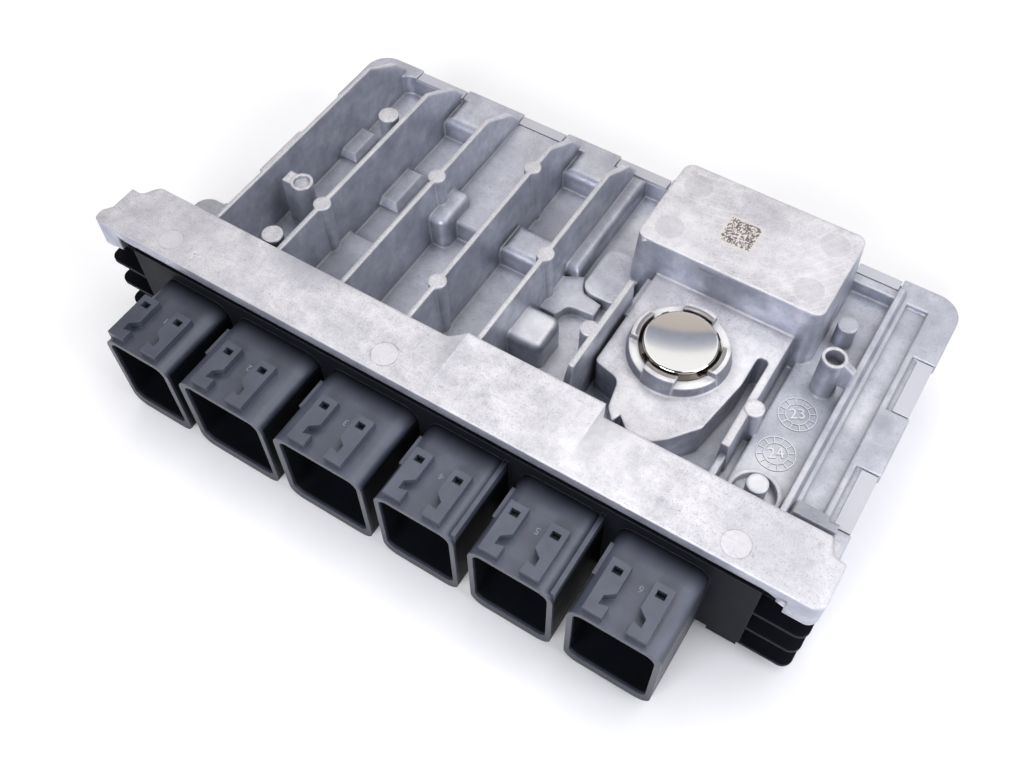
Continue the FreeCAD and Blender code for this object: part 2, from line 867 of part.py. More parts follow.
def pins(shroud):
    shapes = []
    for x in pin_columns(shroud):
        for row, z in enumerate(pin_rows):
            y = leg_y(row)
            profile = [
                (pin_front, z - pin_height / 2),
                (y, z - pin_height / 2),
                (y, board_top),
                (y + pin_height, board_top),
                (y + pin_height, z + pin_height / 2),
                (pin_front, z + pin_height / 2),
            ]
            shapes.append(along_x(profile, x - pin_width / 2, x + pin_width / 2))
    return shapes


def rail(edge, notched):
    """Lock rail on a connector, to the left of its edge: a window at the rear, a slanted notch on one side."""
    inner = edge if notched == "right" else edge - rail_width
    outer = edge - rail_width if notched == "right" else edge
    into = -notch_depth if notched == "right" else notch_depth
    points = [
        (inner, rail_rear),
        (inner, notch_rear),
        (inner + into, notch_rear - 2.0),
        (inner + into, notch_front + 0.2),
        (inner, notch_front + 0.8),
        (inner, rail_front),
        (outer, rail_front),
        (outer, rail_rear),
    ]
    body = upright(points, shroud_top - 1, shroud_top + rail_height)
    centre = edge - window_inset
    window = box(
        centre - window_width / 2,
        centre + window_width / 2,
        window_y - window_length / 2,
        window_y + window_length / 2,
        shroud_top + 0.2,
        shroud_top + rail_height + 1,
    )
    return body.cut(window)


def header():
    front_box = box(header_left, header_right, 0.0, bay_wall_y + header_wall, header_bottom, header_top)
    plate = box(-bay_reach, shelf_length, bay_wall_y, bay_wall_y + header_wall, plate_bottom, skirt_bottom - 0.2)
    bulge = box(header_right - 9.5, header_right - 0.5, 0.5, bay_wall_y, plate_bottom, header_bottom + 1)
    tongue = box(
        wall + seat_gap, shelf_length - wall - seat_gap, bay_wall_y, bay_wall_y + header_wall, -20.0, tongue_top
    )
    shapes = [front_box, plate, tongue, bulge]
    for z in bay_levels:
        left = [
            (-bay_reach, 0.0, bay_corner),
            (header_left + 1, 0.0),
            (header_left + 1, 7.0),
            (-bay_reach, 7.0),
        ]
        right = [
            (header_right - 1, 0.0),
            (shelf_length, 0.0, bay_corner),
            (shelf_length, 7.0),
            (header_right - 1, 7.0),
        ]
        shapes.append(upright(left, z - bay_plate / 2, z + bay_plate / 2))
        shapes.append(upright(right, z - bay_plate / 2, z + bay_plate / 2))
    for left, right, mouth_left, mouth_right in shrouds:
        sleeve = rectangle(left, right, shroud_bottom, shroud_top, shroud_corner)
        shapes.append(along_y(sleeve, shroud_front, 1.0))
        middle = (mouth_left + mouth_right) / 2
        shapes.append(rail(middle + left_rail_edge, "right"))
        shapes.append(rail(middle + right_rail_edge, "left"))
    for left, right in edge_ribs:
        shapes.append(box(left, right, shroud_front + 1.0, 1.0, shroud_top - 5, shroud_top + edge_rib_rise))
    for shroud in shrouds[1:]:
        left = shroud[0] + 0.2
        shapes.append(box(left, left + lug_width, -15.0, -5.0, shroud_top - 6, shroud_top - lug_drop))
    body = joined(shapes)
    tools = [
        box(header_left + wall, header_right - wall, header_wall, bay_wall_y + header_wall + 1,
            header_bottom + wall, header_top - wall)
    ]
    for left, right, mouth_left, mouth_right in shrouds:
        mouth = rectangle(mouth_left, mouth_right, mouth_bottom, mouth_top, mouth_corner)
        tools.append(along_y(mouth, shroud_front - 1, -0.5))
        for x in pin_columns((left, right, mouth_left, mouth_right)):
            for z in pin_rows:
                wide = pin_width / 2
                high = pin_height / 2
                tools.append(box(x - wide, x + wide, -2.0, header_wall + 1, z - high, z + high))
    return cut(body, tools)


def board():
    plate = box(board_left, board_right, board_front, board_rear, board_top - board_thickness, board_top)
    holes = [cone(x, y, screw_radius + 0.2, board_top + 1, board_top - board_thickness - 1) for x, y in screw_spots]
    return cut(plate, holes)


def screws():
    """Hexagon head screws that hold the board from below."""
    under = board_top - board_thickness
    shapes = []
    for x, y in screw_spots:
        shank = cone(x, y, screw_radius, board_top + 7.0, under - 0.5)
        corners = [
            (x + 3.0 * math.cos(math.radians(60 * i)), y + 3.0 * math.sin(math.radians(60 * i))) for i in range(6)
        ]
        head = upright(corners, under - 1.9, under)
        shapes.append(joined([shank, head]))
    return shapes


def capacitors():
    return [cone(x, y, capacitor_radius, board_top + capacitor_height, board_top) for x, y in capacitor_spots]


def vent_cap():
    return cone(vent_x, vent_y, cap_radius, cap_top, cap_top - cap_rise - cap_sheet)


def vent_clip_ring():
    """Spring clip bent into a ring of flats; the cap sits on it."""
    top = cap_top - cap_rise - cap_sheet
    reach = collar_radius - collar_wall - 0.7
    outside = []
    inside = []
    for i in range(clip_flats):
        angle = 2 * math.pi * i / clip_flats
        outside.append((vent_x + reach * math.cos(angle), vent_y + reach * math.sin(angle)))
        inside.append((vent_x + clip_bore * math.cos(angle), vent_y + clip_bore * math.sin(angle)))
    return upright(outside, platform_top, top).cut(upright(inside, platform_top - 1, top + 1))


def vent_membrane():
    """Self-adhesive patch over the breather hole."""
    half = breather_radius + 1.5
    return box(vent_x - half, vent_x + half, vent_y - half, vent_y + half, platform_top, platform_top + 0.3)


def build():
    os.makedirs("parts", exist_ok=True)
    save("housing_cover", cover())
    save("connector_header", header())
    save("base_tray", tray())
    save("cover_seal", ring_seal())
    save("header_seal", header_seal())
    save("circuit_board", board())
    save("board_screws", Part.Compound(screws()))
    for number, shroud in enumerate(shrouds, 1):
        save("terminals_%d" % number, Part.Compound(pins(shroud)))
    save("microcontroller", Part.Compound(on_board([cpu])))
    save("memory_chip", Part.Compound(on_board([memory])))
    save("supply_chip", Part.Compound(on_board([supply])))
    save("driver_chips", Part.Compound(on_board(drivers)))
    save("driver_transistors", Part.Compound(on_board(transistors)))
    save("input_diodes", Part.Compound(on_board(diodes)))
    save("boost_inductors", Part.Compound(on_board(chokes)))
    save("shunt_resistors", Part.Compound(on_board(shunts)))
    save("clock_crystal", Part.Compound(on_board([crystal])))
    save("pressure_sensor", Part.Compound(on_board([sensor])))
    save("ceramic_capacitors", Part.Compound(on_board(ceramics)))
    save("storage_capacitors", Part.Compound(capacitors()))
    save("thermal_pads", Part.Compound(thermal_pads()))
    save("vent_cap", vent_cap())
    save("vent_clip_ring", vent_clip_ring())
    save("vent_membrane", vent_membrane())


build()
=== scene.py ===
import bmesh
import bpy
import json
import math
from mathutils import Matrix, Vector


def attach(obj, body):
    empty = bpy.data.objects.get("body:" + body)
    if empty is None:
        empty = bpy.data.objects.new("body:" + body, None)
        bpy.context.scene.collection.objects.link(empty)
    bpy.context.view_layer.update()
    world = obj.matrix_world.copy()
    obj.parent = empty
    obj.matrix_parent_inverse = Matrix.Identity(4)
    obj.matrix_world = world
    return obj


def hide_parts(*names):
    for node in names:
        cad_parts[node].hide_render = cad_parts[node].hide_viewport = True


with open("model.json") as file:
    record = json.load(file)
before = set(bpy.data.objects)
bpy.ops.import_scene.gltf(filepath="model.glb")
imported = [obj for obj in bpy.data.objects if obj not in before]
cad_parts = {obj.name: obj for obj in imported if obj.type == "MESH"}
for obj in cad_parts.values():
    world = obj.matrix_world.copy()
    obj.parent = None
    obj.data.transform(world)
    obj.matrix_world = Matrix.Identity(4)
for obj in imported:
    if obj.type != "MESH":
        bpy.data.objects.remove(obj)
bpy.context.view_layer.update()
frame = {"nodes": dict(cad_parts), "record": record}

MM = 0.001

# The model's zero is under the middle of the unit, the drawing's zero is the shelf's front left top corner.
# Measures are the drawing's, in mm, unless a comment says metres.
ZERO = (114.5, 46.1, -45.0)
EYE = (220.50, -116.95, 242.88)

# Levels of the casting, from and to
TOPS = (-10.5, 5.0)
FIN_TOPS = (-1.0, -0.3)
BLOCK_TOP = (1.8, 5.0)
SHELF_TOP = (-0.2, 0.4)

# Up-facing skin with painted highlight pools and painted shade: x, y, radius, strength
PAINTED_HIGHLIGHT_SPOTS = [
    (126, 43, 13, 0.8), (129, 62, 12, 0.35), (184, 60, 17, 0.6), (165, 32, 13, 0.5), (203, 35, 15, 0.7),
    (218, 68, 7, 0.45), (134, 100, 9, 0.4), (119, 30, 13, 0.6), (165, 10, 22, 0.4), (187, 96, 20, 0.4),
    (150, 84, 14, 0.4)]
PAINTED_SHADE_SPOTS = [
    (223.5, 68, 5, 0.55), (225, 105, 12, 0.35), (64, 28, 18, 0.9), (64, 56, 14, 0.4), (110, 92, 12, 0.5),
    (151, 70, 7, 0.4), (204, 92, 11, 0.3), (216, 10, 22, 0.35), (168, 104, 10, 0.25)]

# The shelf's wider middle, and how far the painted shade where the shelf dips beside it reaches
WIDE_FROM = 116.4
WIDE_TO = 160.0
DIP_BEFORE = 9.0
DIP_BEHIND = 11.0
DIP_REAR = (4.0, 15.0)
DIP_LEVELS = (-0.4, 0.6)

# Marks on the casting: x, y, radius
SHELF_CIRCLES = [(23.5, 6.1, 3.7), (100.8, 6.0, 3.9), (206.8, 5.6, 3.9)]
BLOCK_CIRCLES = [(146.5, 85.5, 4.2), (190.5, 85.5, 4.2), (146.5, 104.5, 4.2), (190.5, 104.5, 4.2)]
CODE_CENTRE = (165.3, 94.0)
CODE_SIZE = 9.6
CODE_CELLS = 24
CODE_FRAME = 0.8
CODE_DARK_ABOVE = 0.47
ARCS_CENTRE = (148, 128, 0)
ARCS_APART = 9.0

# Vent: cap, clip and its hooks, collar with its ledge, and seat
VENT = (166.7, 55.2)
CAP_RADIUS = 10.7
CAP_FLAT = 0.93 * CAP_RADIUS
CAP_TOP = -3.5
CAP_DOME = 0.28
CAP_ROLL = 0.5
CAP_SKIRT_END = -5.0
CAP_SHEET = 0.5
CLIP_PROFILE = [(9.3, -5.0), (10.3, -5.1), (10.45, -5.7), (11.5, -6.3), (11.5, -6.8), (10.9, -9.4), (9.2, -9.4)]
HOOK_PROFILE = [(10.2, -5.2), (11.3, -4.6), (11.6, -5.6), (10.9, -7.4)]
HOOK_TURNS = (140, 235, 330, 45)
HOOK_HALF_TURN = 0.09
HOOK_SHEET = 0.3
COLLAR_RADIUS = 15.6
COLLAR_LEVELS = (-9.4, -3.0)
LEDGE_LEVELS = (-7.2, -5.8)
SEAT_RADIUS = 12.9
SEAT_LEVELS = (-6.3, -3.0)

# Date dials on the channel floor: number, x, y
DIALS = [("23", 203.0, 60.9), ("24", 203.1, 46.0)]
DIAL_LEVEL = -19.7
DIAL_TURN = 31
DIAL_OUTER = 5.5
DIAL_INNER = 3.4
DIAL_LINE = 0.42
DIAL_RELIEF = 0.2
DIAL_DIGITS = 4.8

# Connector mouths from left to right, and the numbers on their shrouds
MOUTHS = [(25.2, 45.2), (53.2, 79.4), (87.2, 113.4), (120.6, 143.0), (150.3, 172.7), (180.1, 203.1)]
NUMBER_PLACE = (-13.0, -10.0)
NUMBER_SIZE = 2.8
NUMBER_RELIEF = 0.12

# Blade terminals: their grid, then place and half width of a blade's tip, shoulder and rear end
PIN_PITCH = 2.6
PIN_MARGIN = 3.0
PIN_ROWS = 5
PIN_TOP = -16.5
PIN_STEP = 4.6
PIN_STATIONS = [(-15.0, 0.12), (-14.2, 0.32), (8.0, 0.32)]

# Flash at the block's corner
SPUR_TIP = (142.2, 76.6, 2.2)
SPUR_FOOT = [(141.0, 78.4, 2.45), (143.4, 77.6, 2.45), (143.0, 78.0, 1.4)]

# Glowing card that the vent cap mirrors, a painted reflection: sizes and distance in metres, strength, and its
# tints from bottom to top
CARD_HEIGHT = 0.4
CARD_WIDTH = 0.6
CARD_AWAY = 0.45
CARD_CURVE = 4.0
CARD_TILT = -0.16
CARD_GLOW = 1.2
CARD_TINTS = [
    (0.0, "#D2CBC5"), (0.435, "#BDB6B1"), (0.455, "#868B9C"), (0.51, "#A1A6B5"), (0.555, "#C8CBD4"),
    (0.58, "#F8F8FA"), (1.0, "#F8F8FA")]

# Table, in metres: its size, the air under the unit, and the glow that rises with distance
TABLE_SIZE = 6.0
TABLE_GAP = 0.0002
TABLE_GLOW = 0.17
GLOW_FROM = 0.3
GLOW_TO = 1.6

# Soft lamps: name, place in metres, width and depth in metres, watts, tint. All point at the unit.
AIM = Vector((0, 0, 0))
LAMPS = [
    ("front_softbox", (0.0, -0.9, 0.6), (0.6, 0.5), 8.4, "#F7F8FF"),
    ("right_softbox", (0.9, 0.0, 0.6), (0.5, 0.5), 5.2, "#F4F6FF"),
    ("rear_softbox", (0.0, 0.5, 0.95), (0.7, 0.6), 2.4, "#FFFBF8"),
    ("right_top_softbox", (0.4, 0.15, 1.0), (0.5, 0.5), 2.4, "#FFFDFB"),
    ("left_top_softbox", (-0.4, 0.15, 1.0), (0.5, 0.5), 1.5, "#FFFDFB"),
    ("left_rear_softbox", (-0.35, 0.55, 0.85), (0.5, 0.5), 0.6, "#FFFDFB")]

# Cast skin
# Walls darker as painted shade and floors paler as painted light; the blotches in both are the skin's own
SHADED_WALL_TINTS = [(0.3, "#989BA9"), (0.5, "#ADB0BC"), (0.7, "#C4C6CF")]
LIT_FLOOR_TINTS = [(0.3, "#BCBEC9"), (0.7, "#DADCE4")]
TOP_TINTS = [(0.32, "#CCCAD0"), (0.5, "#DFDDE2"), (0.66, "#EFEDF0")]
SPECKLE_TINTS = [(0.4, "#8E8F96"), (0.5, "#C9C8CC"), (0.6, "#EFEEEE")]
SHADED_FLANK_TINTS = [(0.35, "#55565F"), (0.65, "#7E7F88")]
SEAT_TINTS = [(0.35, "#4F4843"), (0.65, "#857C76")]


def to_scene(axis_name, value):
    """A measure of the drawing along one axis, in mm, as a place in the scene, in metres."""
    return (value - ZERO["XYZ".index(axis_name)]) * MM


def at(x, y, z):
    """A point of the drawing as a place in the scene."""
    return Vector((to_scene("X", x), to_scene("Y", y), to_scene("Z", z)))


def colour(hexcode):
    """sRGB hex to linear."""
    parts = [int(hexcode[i:i + 2], 16) / 255 for i in (1, 3, 5)]
    linear = [p / 12.92 if p <= 0.04045 else ((p + 0.055) / 1.055) ** 2.4 for p in parts]
    return (*linear, 1.0)


def per_mm(size):
    """Noise scale for features of this many mm."""
    return 1000.0 / size


class Nodes:
    """The nodes of a material or world; add() puts in one node with its settings and links."""

    def __init__(self, data, output):
        self.data = data
        self.data.use_nodes = True
        self.tree = self.data.node_tree
        self.tree.nodes.clear()
        self.output = self.tree.nodes.new(output)

    def add(self, kind, inputs=None, **settings):
        node = self.tree.nodes.new("ShaderNode" + kind)
        for key, value in settings.items():
            setattr(node, key, value)
        for key, value in (inputs or {}).items():
            if isinstance(value, bpy.types.NodeSocket):
                self.tree.links.new(value, node.inputs[key])
            else:
                node.inputs[key].default_value = value
        return node

    def finish(self, shader):
        self.tree.links.new(shader.outputs[0], self.output.inputs["Surface"])
        return self.data


def material(name):
    return Nodes(bpy.data.materials.new(name), "ShaderNodeOutputMaterial")


def ramp(m, fac, stops):
    """Colour ramp; stops are (position, hex)."""
    node = m.add("ValToRGB", {"Fac": fac})
    elements = node.color_ramp.elements
    elements[0].position, elements[0].color = stops[0][0], colour(stops[0][1])
    elements[1].position, elements[1].color = stops[-1][0], colour(stops[-1][1])
    for position, code in stops[1:-1]:
        element = elements.new(position)
        element.color = colour(code)
    return node.outputs["Color"]


def spread(m, value, low, high, out_low=0.0, out_high=1.0):
    """Runs from out_low to out_high while the value runs from low to high."""
    node = m.add("MapRange", {"Value": value, "From Min": low, "From Max": high,
                              "To Min": out_low, "To Max": out_high}, clamp=True)
    return node.outputs["Result"]


def mix(m, fac, a, b):
    """Colour a where the factor is 0, colour b where it is 1."""
    node = m.add("Mix", {"Factor": fac}, data_type="RGBA", blend_type="MIX")
    for socket, value in ((node.inputs[6], a), (node.inputs[7], b)):
        if isinstance(value, bpy.types.NodeSocket):
            m.tree.links.new(value, socket)
        else:
            socket.default_value = value
    return node.outputs[2]


def maths(m, operation, a, b):
    return m.add("Math", {0: a, 1: b}, operation=operation).outputs[0]


def times(m, first, *others):
    """Product of values."""
    for other in others:
        first = maths(m, "MULTIPLY", first, other)
    return first


def paint(m, base, tint, *factors):
    """A colour over the base, as strong as the product of the factors; the tint is hex or another colour."""
    return mix(m, times(m, *factors), base, colour(tint) if isinstance(tint, str) else tint)


def vector_maths(m, operation, a, b=(0.0, 0.0, 0.0), result="Vector"):
    return m.add("VectorMath", {0: a, 1: b}, operation=operation).outputs[result]


def axis(m, vector, axis_name):
    return m.add("SeparateXYZ", {"Vector": vector}).outputs[axis_name]


def between(m, place, axis_name, low, high, out_low=0.0, out_high=1.0):
    """Runs from out_low to out_high between two measures of the drawing along an axis."""
    along = axis(m, place, axis_name)
    return spread(m, along, to_scene(axis_name, low), to_scene(axis_name, high), out_low, out_high)


def level_mask(m, place, levels, soft=0.2):
    """1 between two levels of the drawing, fading over soft mm at both."""
    low, high = levels
    rise = between(m, place, "Z", low, low + soft)
    fall = between(m, place, "Z", high - soft, high, 1.0, 0.0)
    return times(m, rise, fall)


def noise(m, place, size, detail=4.0, roughness=0.6, distortion=0.0, stretch=None, turn=0.0):
    """Noise with features of this many mm; stretch and turn make it run in one direction."""
    if stretch:
        turned = {"Vector": place, "Rotation": (0.0, 0.0, math.radians(turn)), "Scale": stretch}
        place = m.add("Mapping", turned).outputs["Vector"]
    settings = {"Vector": place, "Scale": per_mm(size), "Detail": detail, "Roughness": roughness,
                "Distortion": distortion}
    return m.add("TexNoise", settings).outputs["Fac"]


def distance_from(m, place, x, y):
    """Distance in metres, seen from above, from a point of the drawing."""
    flat = vector_maths(m, "MULTIPLY", place, (1.0, 1.0, 0.0))
    return vector_maths(m, "DISTANCE", flat, (to_scene("X", x), to_scene("Y", y), 0.0), "Value")


def ring_mark(m, place, x, y, radius, width):
    """1 on a thin circle."""
    gap = maths(m, "SUBTRACT", distance_from(m, place, x, y), radius * MM)
    return spread(m, maths(m, "ABSOLUTE", gap, 0.0), 0.4 * width * MM, width * MM, 1.0, 0.0)


def disc_mark(m, place, x, y, radius):
    """1 inside a circle."""
    return spread(m, distance_from(m, place, x, y), (radius - 0.3) * MM, radius * MM, 1.0, 0.0)


def code_field(m, place):
    """Etched square of random dark cells on the block's top. Returns where it is dark and where it is cleaned."""
    x, y = CODE_CENTRE
    local = vector_maths(m, "SUBTRACT", place, (to_scene("X", x), to_scene("Y", y), 0.0))
    grid = vector_maths(m, "MULTIPLY", local, (per_mm(CODE_SIZE / CODE_CELLS),) * 3)
    cells = vector_maths(m, "MULTIPLY", vector_maths(m, "FLOOR", grid), (1.0, 1.0, 0.0))
    chance = m.add("TexWhiteNoise", {"Vector": cells}, noise_dimensions="3D").outputs["Value"]
    far = maths(m, "MAXIMUM", maths(m, "ABSOLUTE", axis(m, local, "X"), 0.0),
                maths(m, "ABSOLUTE", axis(m, local, "Y"), 0.0))
    inside = maths(m, "LESS_THAN", far, CODE_SIZE / 2 * MM)
    cleaned = maths(m, "LESS_THAN", far, (CODE_SIZE / 2 + CODE_FRAME) * MM)
    return times(m, inside, maths(m, "GREATER_THAN", chance, CODE_DARK_ABOVE)), cleaned


def spots(m, place, facing, places):
    """Soft discs, seen from above, on the faces that look up."""
    total = 0.0
    for x, y, radius, strength in places:
        disc = spread(m, distance_from(m, place, x, y), 0.3 * radius * MM, radius * MM, strength, 0.0)
        total = maths(m, "MAXIMUM", total, disc)
    return times(m, total, facing)


def step_shade(m, place):
    """Painted shade, slightly darker, where the shelf dips beside its wider middle."""
    across = axis(m, place, "X")
    before = times(m, between(m, place, "X", WIDE_FROM - DIP_BEFORE, WIDE_FROM),
                   maths(m, "LESS_THAN", across, to_scene("X", WIDE_FROM)), 0.5)
    behind = times(m, between(m, place, "X", WIDE_TO, WIDE_TO + DIP_BEHIND, 1.0, 0.0),
                   maths(m, "GREATER_THAN", across, to_scene("X", WIDE_TO)), 0.8)
    rear = between(m, place, "Y", *DIP_REAR)
    return times(m, maths(m, "MAXIMUM", before, behind), rear, level_mask(m, place, DIP_LEVELS, 0.1))


def soft_edges(m, radius, samples):
    """The normal with edges rounded by this many mm, and a value that is 1 on flat faces and less at an edge."""
    soft = m.add("Bevel", {"Radius": radius * MM}, samples=samples).outputs["Normal"]
    true_normal = m.add("NewGeometry").outputs["True Normal"]
    return soft, vector_maths(m, "DOT_PRODUCT", soft, true_normal, "Value")


def vent_surround(m, base, place, up, facing, cloud):
    """Round the vent: painted shade on the collar's flanks, a painted highlight on its ledge, a brownish seat."""
    away = distance_from(m, place, *VENT)
    collar = times(m, maths(m, "LESS_THAN", away, COLLAR_RADIUS * MM), level_mask(m, place, COLLAR_LEVELS))
    flank = times(m, collar, spread(m, up, 0.75, 0.95, 1.0, 0.0))
    # Painted shade on the collar's faces that do not look up
    base = paint(m, base, ramp(m, cloud, SHADED_FLANK_TINTS), flank, 0.8)
    # Painted highlight on the collar's ledge
    base = paint(m, base, "#FAFAFB", collar, facing, level_mask(m, place, LEDGE_LEVELS), 0.85)
    seat = times(m, maths(m, "LESS_THAN", away, SEAT_RADIUS * MM), level_mask(m, place, SEAT_LEVELS))
    return paint(m, base, ramp(m, cloud, SEAT_TINTS), seat, 0.8)


def cast_marks(m, base, place, cloud, block_face):
    """Ejector circles on shelf and block, and the etched code on its cleaned field."""
    shelf_face = level_mask(m, place, SHELF_TOP, 0.1)
    for x, y, radius in SHELF_CIRCLES:
        worn = spread(m, cloud, 0.42, 0.6, 0.1, 0.6)
        base = paint(m, base, "#E9E7E9", disc_mark(m, place, x, y, radius), shelf_face, 0.45)
        base = paint(m, base, "#85868E", ring_mark(m, place, x, y, radius, 0.22), shelf_face, worn)
    for x, y, radius in BLOCK_CIRCLES:
        base = paint(m, base, "#B4B4BA", disc_mark(m, place, x, y, radius), block_face, 0.3)
        base = paint(m, base, "#8C8D95", ring_mark(m, place, x, y, radius, 0.35), block_face, 0.15)
    dark, cleaned = code_field(m, place)
    base = paint(m, base, "#E6E0DC", cleaned, block_face, 0.75)
    return paint(m, base, "#5E5250", dark, block_face, 0.85)


def cast_aluminium():
    """Pressure die-cast aluminium: a mottled blue-grey skin, darker on walls as painted shade and paler on floors
    as painted light. Tops are rubbed pale and scratched; edges get a painted highlight and inner corners a
    painted shade."""
    m = material("die_cast_aluminium")
    where = m.add("TexCoord")
    place = where.outputs["Object"]
    up = axis(m, where.outputs["Normal"], "Z")
    smoke = noise(m, place, 22.0, 3.0, 0.55)
    blotch = noise(m, place, 6.0, 5.0, 0.65)
    cloud = noise(m, place, 2.4, 6.0)
    grain = noise(m, place, 0.35, 2.0)
    flecks = noise(m, place, 1.1, 3.0, 0.7, 1.6)
    scratches = noise(m, place, 0.7, 3.0, 0.55, 1.2, (0.1, 1.0, 1.0), 38.0)
    swirls = noise(m, place, 0.8, 4.0, 0.6, 2.5, (1.0, 0.12, 1.0), 25.0)
    facing = spread(m, up, 0.8, 0.97)
    top = times(m, facing, level_mask(m, place, TOPS))
    fin_face = times(m, facing, level_mask(m, place, FIN_TOPS, 0.1))
    block_face = times(m, facing, level_mask(m, place, BLOCK_TOP, 0.1))

    # Painted shade on faces that look sideways, painted light on faces that look up
    base = mix(m, facing, ramp(m, blotch, SHADED_WALL_TINTS), ramp(m, blotch, LIT_FLOOR_TINTS))
    base = paint(m, base, "#8A8E9C", spread(m, smoke, 0.5, 0.75, 0.0, 0.4))
    base = paint(m, base, ramp(m, blotch, TOP_TINTS), top)
    base = paint(m, base, "#9FA1AC", spread(m, cloud, 0.55, 0.75, 0.0, 0.35))
    base = paint(m, base, "#95969F", spread(m, grain, 0.54, 0.68, 0.0, 0.45))
    base = paint(m, base, "#77767E", spread(m, flecks, 0.62, 0.68, 0.0, 0.6), facing)
    base = paint(m, base, "#8E8D94", spread(m, scratches, 0.6, 0.68), top, 0.25)
    base = paint(m, base, "#F1EFEF", spread(m, swirls, 0.52, 0.66), top, 0.4)
    # Painted shade beside the shelf's wider middle
    base = paint(m, base, "#8D8C93", step_shade(m, place))
    patchy = spread(m, blotch, 0.35, 0.6, 0.6, 1.0)
    # Painted highlight pools and painted shade on up-facing skin, broken up by the blotches
    base = paint(m, base, "#FDFDFF", spots(m, place, facing, PAINTED_HIGHLIGHT_SPOTS), patchy)
    base = paint(m, base, "#8B8D99", spots(m, place, facing, PAINTED_SHADE_SPOTS), patchy)

    from_arcs = vector_maths(m, "SUBTRACT", place, at(*ARCS_CENTRE))
    arcs = m.add("TexWave", {"Vector": from_arcs, "Scale": per_mm(ARCS_APART), "Distortion": 2.2, "Detail": 3.0,
                             "Detail Scale": 0.6}, wave_type="RINGS", rings_direction="Z").outputs["Fac"]
    wiped = spread(m, smoke, 0.4, 0.6, 0.05, 0.35)
    base = paint(m, base, "#FAFAFA", spread(m, arcs, 0.86, 0.99), block_face, wiped)
    base = paint(m, base, ramp(m, grain, SPECKLE_TINTS), fin_face, 0.45)
    base = vent_surround(m, base, place, up, facing, cloud)
    base = cast_marks(m, base, place, cloud, block_face)

    soft, flat = soft_edges(m, 1.1, 3)
    # Painted shade in creases and inner corners, from ambient occlusion
    occlusion_shade = m.add("AmbientOcclusion", {"Distance": 3.5 * MM}, samples=2, only_local=True).outputs["AO"]
    base = paint(m, base, "#545763", spread(m, occlusion_shade, 0.25, 0.8, 0.65, 0.0))
    # Painted highlight on convex and concave edges, where the rounded normal turns from the true one
    base = paint(m, base, "#F8F8FA", spread(m, flat, 0.8, 0.98, 0.7, 0.0))
    rough = maths(m, "ADD", spread(m, cloud, 0.3, 0.7, 0.32, 0.5), times(m, top, 0.04))
    relief = maths(m, "ADD", times(m, grain, 0.25), times(m, blotch, 0.75))
    bump = m.add("Bump", {"Strength": 0.3, "Distance": 0.25 * MM, "Height": relief, "Normal": soft})
    return m.finish(m.add("BsdfPrincipled", {"Base Color": base, "Metallic": 0.62, "Roughness": rough,
                                             "Normal": bump.outputs["Normal"]}))


def cast_relief():
    """The same die-cast metal on small raised lines: painted light on top, painted shade down the sides."""
    m = material("die_cast_aluminium_relief")
    up = axis(m, m.add("TexCoord").outputs["Normal"], "Z")
    # Painted light on the tops of the lines, painted shade down their sides
    base = ramp(m, spread(m, up, 0.6, 0.95), [(0.0, "#595C68"), (1.0, "#F1F2F6")])
    return m.finish(m.add("BsdfPrincipled", {"Base Color": base, "Metallic": 0.6, "Roughness": 0.4}))


def header_plastic():
    """Glass-filled PBT from a spark-eroded mould: satin charcoal with a blue cast and a painted highlight on its
    edges.
    In the mouths, between the shrouds and under the lip it gets a nearly black painted shade, and painted shade
    to the left."""
    m = material("glass_filled_pbt")
    where = m.add("TexCoord")
    place = where.outputs["Object"]
    flow = noise(m, place, 9.0)
    grain = noise(m, place, 0.4, 2.0)
    base = ramp(m, flow, [(0.35, "#454A58"), (0.65, "#535867")])

    below = between(m, place, "Z", -13.5, -11.3, 1.0, 0.0)
    behind_rim = between(m, place, "Y", -26.3, -25.6)
    left_of_end = between(m, place, "X", 204, 205, 1.0, 0.35)
    under_lip = between(m, place, "Y", -7, -0.5)
    occlusion_shade = m.add("AmbientOcclusion", {"Distance": 24.0 * MM}, samples=1).outputs["AO"]
    enclosed = times(m, spread(m, occlusion_shade, 0.35, 0.9, 1.0, 0.0), below)
    in_shade = maths(m, "MAXIMUM", times(m, below, behind_rim, left_of_end), enclosed)
    in_shade = maths(m, "MAXIMUM", in_shade, under_lip)
    # Painted shade, stronger to the left
    base = paint(m, base, "#22252C", between(m, place, "X", 20, 120, 0.4, 0.0))
    # Painted shade, nearly black, in the mouths, between the shrouds and under the lip
    base = paint(m, base, "#08090C", in_shade, 0.93)
    ahead = axis(m, where.outputs["Normal"], "Y")
    # Painted shade on faces that look toward the front
    base = paint(m, base, "#1B1D22", spread(m, ahead, -0.95, -0.7, 0.6, 0.0))

    soft, flat = soft_edges(m, 0.35, 2)
    # Painted highlight on edges
    base = paint(m, base, "#868B99", spread(m, flat, 0.8, 0.98, 0.35, 0.0))
    bump = m.add("Bump", {"Strength": 0.25, "Distance": 0.04 * MM, "Height": grain, "Normal": soft})
    rough = spread(m, flow, 0.3, 0.7, 0.36, 0.48)
    # The shine is dulled where the painted shade lies
    sheen = spread(m, in_shade, 0.0, 1.0, 0.6, 0.04)
    return m.finish(m.add("BsdfPrincipled", {"Base Color": base, "Roughness": rough, "IOR": 1.56,
                                             "Normal": bump.outputs["Normal"], "Specular IOR Level": sheen}))


